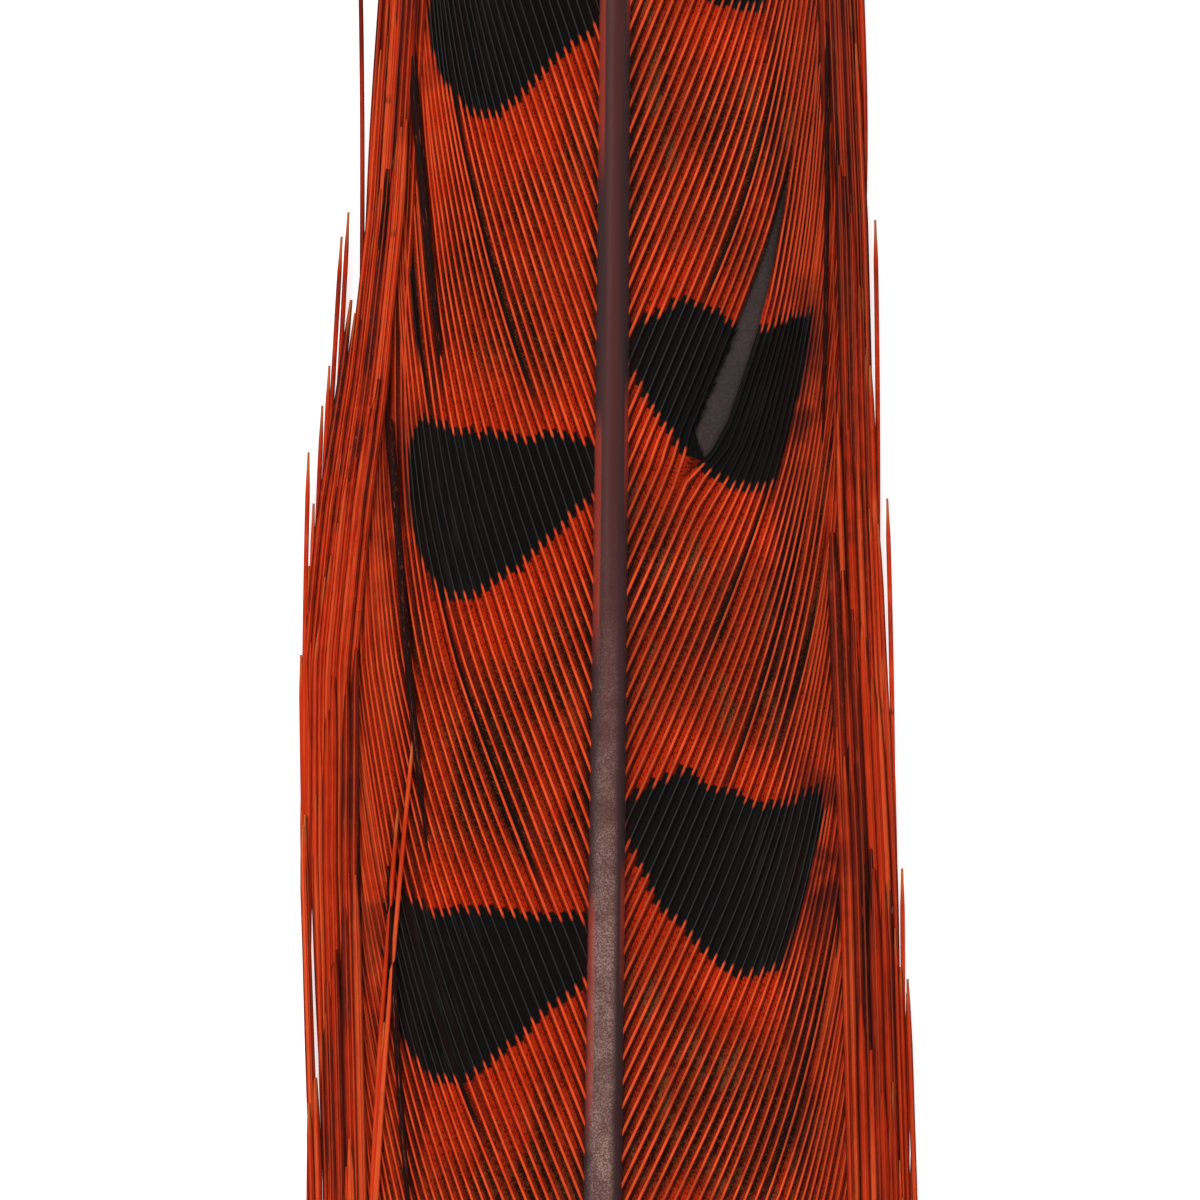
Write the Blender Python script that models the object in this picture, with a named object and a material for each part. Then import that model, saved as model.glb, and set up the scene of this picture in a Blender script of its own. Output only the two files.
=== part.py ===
"""A pheasant's tail feather, lying with its upper side up.

The feather runs along Y with its tip towards +Y. The flat underside of the shaft is the plane z = 0,
and the origin lies on it, half way along the feather. Left is -X and right is +X. Metres.
"""

import math

import bmesh
import bpy
import numpy as np

MM = 0.001

# Driving dimensions of the whole feather.
FEATHER_LENGTH = 400 * MM
QUILL_END = -FEATHER_LENGTH / 2
FEATHER_TIP = FEATHER_LENGTH / 2
SIDE_BOW = 3 * MM  # how far both ends lie to the left of the middle
GAP = 0.35 * MM  # clear air between neighbouring pieces

# Shaft: it tapers evenly from the quill to the tip.
SHAFT_TIP = FEATHER_TIP - 7 * MM
SHAFT_BASE_WIDTH = 2.95 * MM
SHAFT_TIP_WIDTH = 0.4 * MM
SHAFT_HEIGHT_SHARE = 1.1  # height over width
SHAFT_SIDES = 12
SHAFT_RING_SPACING = 8 * MM
QUILL_POINT_LENGTH = 7 * MM
QUILL_POINT_SHARE = 0.5  # width of the quill's end over the full width
QUILL_HOLE_DEPTH = 3 * MM
QUILL_HOLE_SHARE = 0.45  # width of the hole over the width of the quill's end

# Vanes: the y where a barb leaves the shaft, and how far out it reaches on the left and on the right.
VANE_REACH = (
    (-142.0 * MM, 10.5 * MM, 10.8 * MM),
    (-125.0 * MM, 12.0 * MM, 12.6 * MM),
    (-108.0 * MM, 12.0 * MM, 12.7 * MM),
    (-86.0 * MM, 12.6 * MM, 11.7 * MM),
    (-65.0 * MM, 11.1 * MM, 10.9 * MM),
    (-40.0 * MM, 9.8 * MM, 10.0 * MM),
    (0.0 * MM, 8.8 * MM, 9.0 * MM),
    (60.0 * MM, 6.8 * MM, 7.0 * MM),
    (120.0 * MM, 4.6 * MM, 4.7 * MM),
    (160.0 * MM, 2.9 * MM, 2.9 * MM),
    (189.4 * MM, 1.55 * MM, 1.55 * MM),
)
VANE_ROW_SPACING = 5.7 * MM
VANE_COLUMNS = 10
VANE_THICKNESS = 0.7 * MM
VANE_ROOT_SHARE = 0.55  # where the barbs leave the shaft, over its height
VANE_RISE = 0.3 * MM  # how far the vane rises above its root before it droops
VANE_EDGE_HEIGHT = 0.42 * MM  # the middle of the vane's thickness at its outer edge

# Angle between a barb and the shaft, by how far out the barb has come (0 at the shaft, 1 at its tip).
BARB_TURN = ((0.0, 19.0), (0.30, 17.5), (0.50, 12.0), (0.68, 7.5), (0.85, 4.5), (1.0, 3.0))
BASAL_SPREAD = 17.0  # degrees that the lowest barbs of a vane stand off further
SPREAD_START = -95 * MM
SPREAD_END = -142 * MM

# The split in the right vane: the barbs below and above it leave the shaft this far apart, and it is open
# between these shares of their reach.
SPLIT_BARB = -2.0 * MM
SPLIT_PITCH = 3.4 * MM
SPLIT_FROM, SPLIT_TO = 0.3, 0.5

# Down: the y where a barb leaves the shaft, how far out it reaches, and the degrees that it stands off
# further than a barb of the vane.
DOWN_REACH = (
    (-168.0 * MM, 7.0 * MM, 55.0),
    (-160.0 * MM, 10.0 * MM, 42.0),
    (-152.0 * MM, 11.5 * MM, 33.0),
    (-143.6 * MM, 11.7 * MM, 25.0),
)
DOWN_ROWS = 9
DOWN_COLUMNS = 8
DOWN_THICKNESS = 2.3 * MM
DOWN_HEIGHT = 1.3 * MM  # the middle of its thickness at the shaft
DOWN_RISE = 0.5 * MM  # how far it rises above that half way out, in the topmost row


def new_material(name, colour, roughness):
    material = bpy.data.materials.new(name)
    material.use_nodes = True
    shader = material.node_tree.nodes["Principled BSDF"]
    shader.inputs["Base Color"].default_value = (*colour, 1.0)
    shader.inputs["Roughness"].default_value = roughness
    shader.inputs["Metallic"].default_value = 0.0
    return material


def new_object(name, mesh_builder, material):
    mesh = bpy.data.meshes.new(name)
    mesh_builder.to_mesh(mesh)
    mesh_builder.free()
    mesh.shade_smooth()
    mesh.set_sharp_from_angle(angle=math.radians(40))
    mesh.materials.append(material)
    result = bpy.data.objects.new(name, mesh)
    bpy.context.scene.collection.objects.link(result)
    return result


def shaft_middle(y):
    """Where the shaft's middle line lies sideways."""
    return -SIDE_BOW * (y / FEATHER_TIP) ** 2


def shaft_width(y):
    return np.interp(y, (QUILL_END, SHAFT_TIP), (SHAFT_BASE_WIDTH, SHAFT_TIP_WIDTH))


def shaft_rings():
    """The y, width and height of each ring from the quill's end to the tip."""
    rings = []
    steps = math.ceil((SHAFT_TIP - QUILL_END - QUILL_POINT_LENGTH) / SHAFT_RING_SPACING)
    full = shaft_width(QUILL_END)
    for along, share in ((0.0, QUILL_POINT_SHARE), (0.2, 0.66), (0.55, 0.85)):
        rings.append((QUILL_END + along * QUILL_POINT_LENGTH, share * full))
    for y in np.linspace(QUILL_END + QUILL_POINT_LENGTH, SHAFT_TIP, steps + 1):
        rings.append((y, shaft_width(y)))
    return rings


def ring_points(y, width, bottom):
    """A round section with a flat underside at the height bottom."""
    height = SHAFT_HEIGHT_SHARE * width
    angles = [2 * math.pi * k / SHAFT_SIDES for k in range(SHAFT_SIDES)]
    lowest = math.sin(math.radians(-60)) * height / 2
    across = [shaft_middle(y) + width / 2 * math.cos(a) for a in angles]
    up = [max(math.sin(a) * height / 2, lowest) - lowest + bottom for a in angles]
    return [(x, y, z) for x, z in zip(across, up)]


def build_shaft(material):
    """One tapering tube of rings, closed at both ends, with the small hole in the quill's end."""
    builder = bmesh.new()
    previous = None
    full = shaft_width(QUILL_END)
    for y, width in shaft_rings():
        narrowed = min(width / full, 1.0) if y < QUILL_END + QUILL_POINT_LENGTH else 1.0
        bottom = (1 - narrowed) * full / 2
        ring = [builder.verts.new(p) for p in ring_points(y, width, bottom)]
        edges = [builder.edges.new((ring[k - 1], ring[k])) for k in range(SHAFT_SIDES)]
        if previous is None:
            end_cap = builder.faces.new(ring)
        else:
            bmesh.ops.bridge_loops(builder, edges=previous + edges)
        previous = edges
    builder.faces.new(ring)
    hole = QUILL_POINT_SHARE * full * (1 - QUILL_HOLE_SHARE) / 2
    bmesh.ops.inset_individual(builder, faces=[end_cap], thickness=hole)
    deep = bmesh.ops.extrude_discrete_faces(builder, faces=[end_cap])["faces"]
    inside = list({v for face in deep for v in face.verts})
    bmesh.ops.translate(builder, verts=inside, vec=(0, QUILL_HOLE_DEPTH, 0))
    bmesh.ops.recalc_face_normals(builder, faces=builder.faces)
    return new_object("shaft", builder, material)


def barb_angle(share, spread):
    """The barb's angle to the shaft in radians, where it has come this share of its way out."""
    shares, angles = zip(*BARB_TURN)
    return math.radians(np.interp(share, shares, angles) + spread * (1 - share))


def barb_line(y, reach, spread, columns):
    """How far out and how far along each point of a barb lies, from where it leaves the shaft."""
    steps = 20
    fine = np.linspace(0, 1, columns * steps + 1)
    slopes = [1 / math.tan(barb_angle(share, spread)) for share in fine]
    means = (np.array(slopes[1:]) + np.array(slopes[:-1])) / 2
    along = np.concatenate([[0], np.cumsum(means)]) / (columns * steps) * reach
    return fine[::steps] * reach, y + along[::steps]


def vane_height(share, y):
    """The middle of the vane's thickness: up a little from the shaft, then down to the edge."""
    root = VANE_ROOT_SHARE * SHAFT_HEIGHT_SHARE * shaft_width(y)
    root = max(root, VANE_EDGE_HEIGHT)
    level = root + (VANE_EDGE_HEIGHT - root) * share**1.5
    return level + VANE_RISE * math.sin(math.pi * share) * (root / MM)


def sheet(builder, rows):
    """A sheet of faces through rows of points."""
    grid = [[builder.verts.new(p) for p in row] for row in rows]
    for low, high in zip(grid, grid[1:]):
        for a, b, c, d in zip(low, low[1:], high[1:], high):
            builder.faces.new((a, b, c, d))
    return grid


def thicken(piece, thickness):
    """Gives a sheet its thickness, half of it to each side."""
    solid = piece.modifiers.new("thickness", "SOLIDIFY")
    solid.thickness = thickness
    solid.offset = 0.0
    solid.use_even_offset = False


def place_row(side, y_root, out, along, height):
    """Points of a barb from the shaft's side outwards."""
    root = shaft_width(y_root) / 2 + GAP
    return [(shaft_middle(y) + side * (root + x), y, z) for x, y, z in zip(out, along, height)]


def vane_roots(lowest, highest):
    """Where the rows of a vane leave the shaft: evenly spaced below the split, and above it."""
    above = SPLIT_BARB + SPLIT_PITCH
    below_rows = math.ceil((SPLIT_BARB - lowest) / VANE_ROW_SPACING) + 1
    above_rows = math.ceil((highest - above) / VANE_ROW_SPACING) + 1
    below = np.linspace(lowest, SPLIT_BARB, below_rows)
    return [*below, *np.linspace(above, highest, above_rows)]


def build_vane(name, side, material):
    """Rows of points along the barbs, from the lowest barb to the tip, as one thin sheet."""
    builder = bmesh.new()
    ys, *reaches = zip(*VANE_REACH)
    reach_here = reaches[0] if side < 0 else reaches[1]
    shares = np.linspace(0, 1, VANE_COLUMNS + 1)
    roots = vane_roots(ys[0], ys[-1])
    rows = []
    for y in roots:
        spread = BASAL_SPREAD * np.interp(y, (SPREAD_END, SPREAD_START), (1, 0))
        out, along = barb_line(y, np.interp(y, ys, reach_here), spread, VANE_COLUMNS)
        rows.append(place_row(side, y, out, along, [vane_height(s, y) for s in shares]))
    grid = sheet(builder, rows)
    if side > 0:
        open_split(builder, grid, roots.index(SPLIT_BARB))
    bmesh.ops.recalc_face_normals(builder, faces=builder.faces)
    vane = new_object(name, builder, material)
    thicken(vane, VANE_THICKNESS)
    return vane


def open_split(builder, grid, row):
    """Opens the slit between one row of a vane and the next."""
    first = round(SPLIT_FROM * VANE_COLUMNS)
    last = round(SPLIT_TO * VANE_COLUMNS)
    corners = [
        {grid[row][k], grid[row][k + 1], grid[row + 1][k], grid[row + 1][k + 1]}
        for k in range(first, last)
    ]
    opened = [face for face in builder.faces if set(face.verts) in corners]
    bmesh.ops.delete(builder, geom=opened, context="FACES")


def build_down(name, side, material):
    """The loose barbs at the base as one soft pad, fanned out from the shaft."""
    builder = bmesh.new()
    ys, reaches, spreads = zip(*DOWN_REACH)
    rows = []
    shares = np.linspace(0, 1, DOWN_COLUMNS + 1)
    for k, y in enumerate(np.linspace(ys[0], ys[-1], DOWN_ROWS)):
        reach, spread = np.interp(y, ys, reaches), np.interp(y, ys, spreads)
        out, along = barb_line(y, reach, spread, DOWN_COLUMNS)
        rise = DOWN_RISE * (k + 1) / DOWN_ROWS
        rows.append(place_row(side, y, out, along, DOWN_HEIGHT + rise * np.sin(math.pi * shares)))
    sheet(builder, rows)
    bmesh.ops.recalc_face_normals(builder, faces=builder.faces)
    down = new_object(name, builder, material)
    thicken(down, DOWN_THICKNESS)
    return down


def main():
    for old in list(bpy.data.objects):
        bpy.data.objects.remove(old)
    shaft_keratin = new_material("shaft_keratin", (0.06, 0.025, 0.022), 0.42)
    dyed_vane = new_material("dyed_vane", (0.45, 0.06, 0.015), 0.6)
    pale_down = new_material("pale_down", (0.38, 0.14, 0.08), 0.85)
    build_shaft(shaft_keratin)
    build_vane("left_vane", -1, dyed_vane)
    build_vane("right_vane", 1, dyed_vane)
    build_down("left_down", -1, pale_down)
    build_down("right_down", 1, pale_down)


main()
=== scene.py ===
"""A dyed pheasant tail feather lying on a pale table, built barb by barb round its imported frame."""

import math

import bmesh
import bpy
import numpy as np
from bpy.props import FloatProperty, FloatVectorProperty, IntProperty, PointerProperty
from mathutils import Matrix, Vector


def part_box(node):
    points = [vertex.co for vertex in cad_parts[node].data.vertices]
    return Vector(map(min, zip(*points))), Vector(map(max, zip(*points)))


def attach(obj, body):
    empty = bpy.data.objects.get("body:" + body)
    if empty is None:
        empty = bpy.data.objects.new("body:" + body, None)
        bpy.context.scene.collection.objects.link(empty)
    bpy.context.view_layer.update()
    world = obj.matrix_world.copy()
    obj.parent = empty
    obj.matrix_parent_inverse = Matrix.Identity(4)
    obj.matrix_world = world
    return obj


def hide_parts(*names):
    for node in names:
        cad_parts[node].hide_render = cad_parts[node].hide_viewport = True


bl_info = {
    "name": "Pheasant Tail Feather",
    "version": (1, 0, 0),
    "blender": (4, 5, 0),
    "location": "3D View > Sidebar > Feather",
    "description": "Builds a barred pheasant tail feather from single barbs round its frame",
    "category": "Add Mesh",
}

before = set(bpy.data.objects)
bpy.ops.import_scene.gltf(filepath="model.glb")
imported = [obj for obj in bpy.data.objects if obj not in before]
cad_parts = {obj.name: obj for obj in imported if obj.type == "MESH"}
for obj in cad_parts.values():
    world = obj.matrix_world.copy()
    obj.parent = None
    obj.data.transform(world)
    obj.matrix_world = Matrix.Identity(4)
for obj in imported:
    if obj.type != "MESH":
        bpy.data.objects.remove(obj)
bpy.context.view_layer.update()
SHAFT_LOW, SHAFT_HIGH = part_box("shaft")

MM = 0.001
LEFT, RIGHT = -1, 1
SIDES = ((LEFT, "left"), (RIGHT, "right"))
SEED = 20

# The feather's own measures, in millimetres. Y runs along the shaft, and 0 is half way.
QUILL_END = SHAFT_LOW[1] / MM
SHAFT_TIP = SHAFT_HIGH[1] / MM
FEATHER_TIP = -QUILL_END
SIDE_BOW = 3.0
SHAFT_BASE_WIDTH = 2.95
SHAFT_TIP_WIDTH = 0.4
SHAFT_HEIGHT_SHARE = 1.1
SHAFT_LIFT = math.sin(math.radians(60)) * SHAFT_HEIGHT_SHARE / 2  # its middle's height over its width
ROOT_HEIGHT_SHARE = 0.55 * SHAFT_HEIGHT_SHARE  # where barbs leave the shaft, over its width
QUILL_POINT = 7.0
QUILL_POINT_SHAPE = ((0.0, 0.5), (0.2, 0.66), (0.55, 0.85))  # along the point, and width over the full one
VANE_START, VANE_END = -142.0, 189.0
VANE_EDGE_HEIGHT = 0.42

# Half the feather's width on the left and on the right of the shaft's middle, by y.
OUTLINE = (
    (-146, 9.4, 9.0), (-130, 10.8, 10.2), (-110, 12.2, 11.6), (-90, 13.2, 12.6), (-60, 13.6, 13.9),
    (-40, 13.2, 14.0), (-27, 12.9, 13.8), (-12, 13.55, 13.1), (-3, 13.6, 12.5), (4, 12.9, 12.1),
    (10, 12.0, 11.85), (17, 11.2, 11.6), (27, 10.55, 11.05), (60, 9.7, 9.8), (100, 8.1, 8.1),
    (150, 5.3, 5.3), (175, 3.6, 3.6), (190, 2.3, 2.3), (200, 1.1, 1.1),
)
# A barb's whole length, by the y of its root.
BARB_LENGTH = ((-142, 46), (-120, 60), (-95, 70), (20, 68), (90, 53), (150, 30), (189, 10.5))
# How a barb's angle to the shaft falls off, by how far out it has come.
BARB_TURN = (
    (0.0, 1.0), (0.3, 0.97), (0.45, 0.88), (0.55, 0.76), (0.63, 0.65), (0.72, 0.5), (0.82, 0.38),
    (1.0, 0.34),
)
ANGLE_FALL = 0.055  # degrees that the angle falls for each millimetre towards the tip
BASAL_SPREAD = 16.0  # degrees more for the lowest barbs
TIP_CLOSING = 0.8  # share of its angle that the last barb has lost
TRACE_STEP = 0.5
BARB_STATIONS = 48
BARBULE_SPACING = 0.19
FRINGE = 0.64, 0.8  # where barbs come unhooked, as a share of the outline
NARROWEST_WEB, WIDEST_WEB = 0.08, 0.4  # half of it, on either side of the stem

# Black bars: by distance from the shaft, the lower and upper edge about the bar's own middle.
LEFT_BAR = (
    (0.6, 0.6, 3.3), (2.2, -0.8, 3.55), (4.0, -2.4, 3.45), (5.8, -3.9, 3.9), (7.1, -4.0, 3.6),
    (8.0, -3.1, 4.3), (8.6, -2.0, 4.4), (9.2, 0.2, 3.8),
)
RIGHT_BAR = (
    (0.8, 1.3, 3.2), (1.6, -0.2, 3.8), (2.65, -2.0, 4.2), (3.2, -2.5, 4.7), (4.05, -3.3, 4.3),
    (5.1, -4.2, 3.7), (6.3, -4.4, 3.2), (7.5, -4.3, 3.4), (8.2, -1.9, 3.9), (9.2, 2.4, 4.0),
)
BAR_MIDDLE = {LEFT: 3.83, RIGHT: 9.2}
BAR_SPACING = 21.4
BAR_NARROWING = 0.0038  # share that a bar narrows for each millimetre towards the tip

# Seams where neighbouring barbs have come unhooked, with painted shade: root y, strength, and the stretch of
# y they run.
SEAMS = {
    LEFT: (
        (0.6, 0.75, 6, 30), (-19.8, 0.75, -16, 6), (-15.2, 1.0, 6, 32), (-25.0, 1.0, 1, 30),
        (-36.0, 0.8, -27, -8), (21.5, 0.6, 24, 50), (-55.0, 0.8, -45, -20), (-80.0, 0.8, -70, -40),
        (55.0, 0.7, 62, 95), (100.0, 0.7, 108, 135),
    ),
    RIGHT: (
        (4.5, 0.7, 10, 26), (-12.0, 0.6, -6, 14), (-20.5, 0.6, -12, 8), (-24.0, 0.7, -8, 12),
        (-42.0, 0.7, -30, -10), (-62.0, 0.8, -50, -22), (-90.0, 0.8, -80, -50), (40.0, 0.7, 48, 75),
        (85.0, 0.7, 94, 120),
    ),
}
# The split in the right vane: the y on the shaft where it points, and its width by y.
SPLIT_ROOT = -0.9
SPLIT_WIDTH = (
    (7.2, 1.4), (8.5, 1.32), (10.0, 1.2), (12.8, 1.05), (16.2, 0.45), (19.5, 0.08), (21.5, 0.0),
)
SPLIT_DECAY = 7.0  # millimetres down the shaft over which the push on the barbs fades
SPLIT_PUSH_START = 5.95
PUSHED_OUT, PUSHED_IN = 0.7, 0.3  # share of the split's width by which its two sides move
SPLIT_LOW_END = {LEFT: 7.0, RIGHT: 6.1}  # y where the split opens, on its left and on its right side
# Where the dark sheet of painted shade under the split begins, and how far below the barbs it lies.
SHADE_SHEET_START, SPLIT_TOP = 5.8, 20.5
SHADE_SHEET_DEPTH = 0.3
FUZZ_HAIRS = 90
FUZZ_RADIUS = 0.026

# The down below the vanes: the stretch of shaft that it grows from, and its hairs.
DOWN_START, DOWN_END = -169.0, -141.0
DOWN_BARB_RADIUS = 0.06
BARBULE_RADIUS = 0.036
BARBULES_EACH = 84

# Loose strands: y and distance from the shaft at the low end and at the tip, bulge, tone, half width.
# A tone below 0 makes a dark strip of painted shade where the vane's edge meets the fringe.
LOOSE_STRANDS = {
    LEFT: (
        (-12, 13.1, 17.3, 11.9, 0.05, 0.62, 0.12), (-14, 13.3, 16.2, 12.2, 0.15, 0.55, 0.12),
        (-18, 13.3, 10.4, 12.7, 0.15, 0.66, 0.12), (-20, 13.2, 6.5, 13.6, 0.25, 0.7, 0.12),
        (-21, 13.2, 8.6, 13.0, 0.25, 0.55, 0.12), (-24, 13.1, 4.2, 13.35, 0.2, 0.75, 0.12),
        (-26, 13.0, 1.4, 13.55, 0.15, 0.6, 0.12), (-28, 12.8, -2.6, 13.85, 0.15, 0.6, 0.12),
        (-31, 12.8, -8.5, 13.75, 0.1, 0.7, 0.12), (-40, 12.9, -18.5, 13.15, 0.15, 0.7, 0.12),
        (5, 11.3, 48, 12.3, -0.4, 0.5, 0.12), (-45, 10.4, -6.3, 8.75, 0.5, 0.85, 0.12),
        (-50, 10.0, -9.5, 9.4, 0.7, 0.7, 0.12), (-40, 10.9, -13.5, 9.35, 0.1, 0.95, 0.12),
        (-52, 11.0, -19, 9.9, 0.2, 0.5, 0.12), (7.5, 7.35, 33, 9.8, 0.15, -0.5, 0.25),
        (-14, 7.7, 8, 9.9, 0.2, -0.5, 0.2), (-32, 8.2, -12, 9.8, 0.15, -0.5, 0.16),
        (-27, 10.6, -2, 11.4, 0.1, -0.1, 0.14), (12, 10.0, 34, 9.2, 0.1, -0.1, 0.12),
    ),
    RIGHT: (
        (4, 9.4, 26, 9.5, 0.1, -0.1, 0.12), (-18, 10.2, 2, 11.0, 0.1, -0.1, 0.12),
        (-6, 12.0, 17.2, 11.75, 0.1, 0.6, 0.12), (-17, 12.9, 4.7, 12.4, 0.1, 0.66, 0.12),
        (-28, 13.2, -6.3, 12.75, 0.1, 0.7, 0.12), (-34, 13.4, -11.9, 13.25, 0.1, 0.75, 0.12),
        (-40, 13.6, -17.5, 13.55, 0.1, 0.7, 0.12), (-46, 13.7, -24.8, 13.85, 0.1, 0.65, 0.12),
    ),
}


def tint(red, green, blue):
    """A colour given as it looks on a screen, made linear for the shaders."""
    parts = [c / 255 for c in (red, green, blue)]
    linear = [c / 12.92 if c <= 0.04045 else ((c + 0.055) / 1.055) ** 2.4 for c in parts]
    return (*linear, 1.0)


# ---------------------------------------------------------------------------------------------------
# Sizes and colours


def length(name, description, default):
    return FloatProperty(
        name=name, description=description, default=default, unit="LENGTH", subtype="DISTANCE"
    )


def colour(name, description, default):
    return FloatVectorProperty(
        name=name, description=description, default=default, subtype="COLOR", size=4, min=0, max=1
    )


class ShaftSettings(bpy.types.PropertyGroup):
    ring_spacing: length("Ring Spacing", "Distance between two sections of the shaft", 5 * MM)
    sides: IntProperty(name="Sides", description="Sides of the shaft's section", default=32, min=12)
    hole_depth: length("Quill Hole", "Depth of the hole in the quill's end", 3 * MM)
    core: colour("Core", "Red-brown middle of the shaft", tint(80, 37, 34))
    flank: colour("Flank", "Grey-brown sides of the shaft", tint(58, 44, 46))
    dyed_edge: colour("Dyed Edge", "Red dye along the edges near each bar", tint(180, 64, 46))
    # Pale mealy flecks on the lower shaft, painted brighter to stand in for its sheen.
    meal_and_sheen: colour("Meal", "Pale flecks on the lower shaft", tint(186, 152, 142))
    horn: colour("Horn", "Bare quill", tint(150, 92, 66))


class VaneSettings(bpy.types.PropertyGroup):
    left_pitch: length("Left Pitch", "Distance between barbs on the left", 1.215 * MM)
    right_pitch: length("Right Pitch", "Distance between barbs on the right", 1.152 * MM)
    left_angle: FloatProperty(
        name="Left Angle", description="Barb's angle to the shaft at mid length", default=21.0
    )
    right_angle: FloatProperty(
        name="Right Angle", description="Barb's angle to the shaft at mid length", default=23.6
    )
    ramus_width: length("Ramus Width", "Width of a barb's stem near the shaft", 0.14 * MM)
    bar_spacing: length("Bar Spacing", "Distance from one black bar to the next", BAR_SPACING * MM)
    ramus: colour("Ramus", "Stem of a barb", tint(250, 92, 44))
    web_warm: colour("Warm Web", "Barbules beside a bar", tint(188, 38, 2))
    web_dark: colour("Dark Web", "Barbules between two bars", tint(34, 9, 3))
    web_brown: colour("Brown Web", "Worn barbules", tint(100, 60, 36))
    bar: colour("Bar", "Black bar", tint(14, 12, 11))


class DownSettings(bpy.types.PropertyGroup):
    pitch: length("Pitch", "Distance between downy barbs", 0.85 * MM)
    barbule_length: length("Barbule Length", "Length of a downy barbule", 2.6 * MM)
    pale: colour("Pale", "Tips of the down", tint(196, 112, 82))
    dyed: colour("Dyed", "Roots of the down", tint(158, 66, 34))


class StageSettings(bpy.types.PropertyGroup):
    camera_height: length("Camera Height", "Camera above the table", 0.225)
    lens: FloatProperty(name="Lens", description="Focal length in millimetres", default=150.0)
    camera_x: length("Camera Side", "Camera to the side of the shaft's middle", -0.45 * MM)
    camera_turn: FloatProperty(
        name="Camera Turn",
        description="How far the feather leans in the view",
        default=math.radians(0.6),
        subtype="ANGLE",
    )
    table_size: length("Table Size", "Width of the table", 9.0)
    light_power: FloatProperty(name="Light", description="Power of the main light in watts", default=8.0)


# ---------------------------------------------------------------------------------------------------
# Shape of the feather


def ease(value, start, end):
    """0 before start, 1 after end, smooth between them."""
    share = np.clip((np.asarray(value, float) - start) / (end - start), 0, 1)
    return share * share * (3 - 2 * share)


def read_table(table, column, value):
    rows = np.asarray(table, float)
    return np.interp(value, rows[:, 0], rows[:, column])


def shaft_middle(y):
    return -SIDE_BOW * (y / FEATHER_TIP) ** 2


def shaft_width(y):
    return np.interp(y, (QUILL_END, SHAFT_TIP), (SHAFT_BASE_WIDTH, SHAFT_TIP_WIDTH))


def half_width(side, y):
    return read_table(OUTLINE, 1 if side == LEFT else 2, y)


def vane_height(side, reach, y):
    """Height of the vane's middle layer, which rises a little from the shaft and droops to its edge."""
    root = np.maximum(ROOT_HEIGHT_SHARE * shaft_width(y), VANE_EDGE_HEIGHT)
    share = np.clip(reach / half_width(side, y), 0, 1)
    return root + (VANE_EDGE_HEIGHT - root) * share**1.5 + 0.3 * root * np.sin(math.pi * share)


def bar_depth(side, reach, y, spacing):
    """How far inside a black bar a point lies, in millimetres, and below 0 outside."""
    table = LEFT_BAR if side == LEFT else RIGHT_BAR
    first = BAR_MIDDLE[side]
    middle = first + spacing * np.round((y - first) / spacing)
    scale = np.clip(1 - BAR_NARROWING * (middle - 4), 0.25, 1.12)
    out = reach / scale
    up = (y - middle) / np.sqrt(scale)
    low, high = read_table(table, 1, out), read_table(table, 2, out)
    inside = np.minimum(high - up, 0.75 * (up - low))
    return np.minimum(inside, 2.0 * (table[-1][0] - out))


def wander(random, count, grain):
    """Smooth random numbers about 0, one a barb, that stay alike over so many barbs."""
    knots = random.normal(0, 1, int(count / grain) + 4)
    return np.interp(np.arange(count) / grain, np.arange(len(knots)), knots)


def lock_reach(random, count):
    """How far out each barb levels off, as a share of the outline. Barbs of one lock lie side by side."""
    share = np.empty(count)
    first = 0
    while first < count:
        size = min(int(random.integers(6, 12)), count - first)
        outermost, innermost = random.uniform(0.97, 1.005), random.uniform(0.79, 0.87)
        place = (np.arange(size) / size) ** 1.25
        share[first : first + size] = outermost + (innermost - outermost) * place
        first += size
    return share + random.normal(0, 0.006, count)


def level_off(reach, limit, ease_length=0.45):
    """reach, but never past limit, turning smoothly as it comes near."""
    return limit - ease_length * np.logaddexp(0, (limit - reach) / ease_length)


def between(grid, row, place):
    """The values of the grid's rows at a place between two of its columns."""
    first = place.astype(int)
    part = place - first
    return grid[row, first] * (1 - part) + grid[row, first + 1] * part


def barb_roots(random, side, settings):
    """Where each barb leaves the shaft, its length, and the share of the outline where it levels off."""
    pitch = (settings.left_pitch if side == LEFT else settings.right_pitch) / MM
    roots = np.arange(VANE_START, VANE_END, pitch)
    roots = roots + random.normal(0, 0.03, len(roots))
    locks = lock_reach(random, len(roots))[:, None]
    lengths = read_table(BARB_LENGTH, 1, roots) * (1 + random.normal(0, 0.012, len(roots)))
    return roots, lengths, locks


def trace_barbs(side, settings, roots, lengths):
    """How far each barb has come along itself, out from the shaft and up the feather, at each station."""
    angle = settings.left_angle if side == LEFT else settings.right_angle
    start_angle = angle - ANGLE_FALL * roots + BASAL_SPREAD * ease(-roots, 95, 142)
    start_angle = start_angle * (1 - TIP_CLOSING * ease(roots, 160, VANE_END))
    reach, y = 0.3 * shaft_width(roots), roots.copy()
    reaches, ys = [reach], [y]
    for _ in range(int(lengths.max() / TRACE_STEP) + 2):
        turn = np.radians(start_angle * read_table(BARB_TURN, 1, reach / half_width(side, y)))
        next_y = y + np.cos(turn) * TRACE_STEP
        narrowing = half_width(side, next_y) / half_width(side, y)
        reach, y = reach * narrowing + np.sin(turn) * TRACE_STEP, next_y
        reaches.append(reach)
        ys.append(y)
    along = lengths[:, None] * np.linspace(0, 1, BARB_STATIONS)
    barb = np.arange(len(roots))[:, None]
    reach, y = (between(np.array(grid).T, barb, along / TRACE_STEP) for grid in (reaches, ys))
    return along, reach, y


def split_neighbours(roots):
    """The barbs that the split lies between: the one on its right side, and the one on its left."""
    right_side = int(np.max(np.nonzero(roots < SPLIT_ROOT)[0]))
    return right_side, right_side + 1


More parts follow.
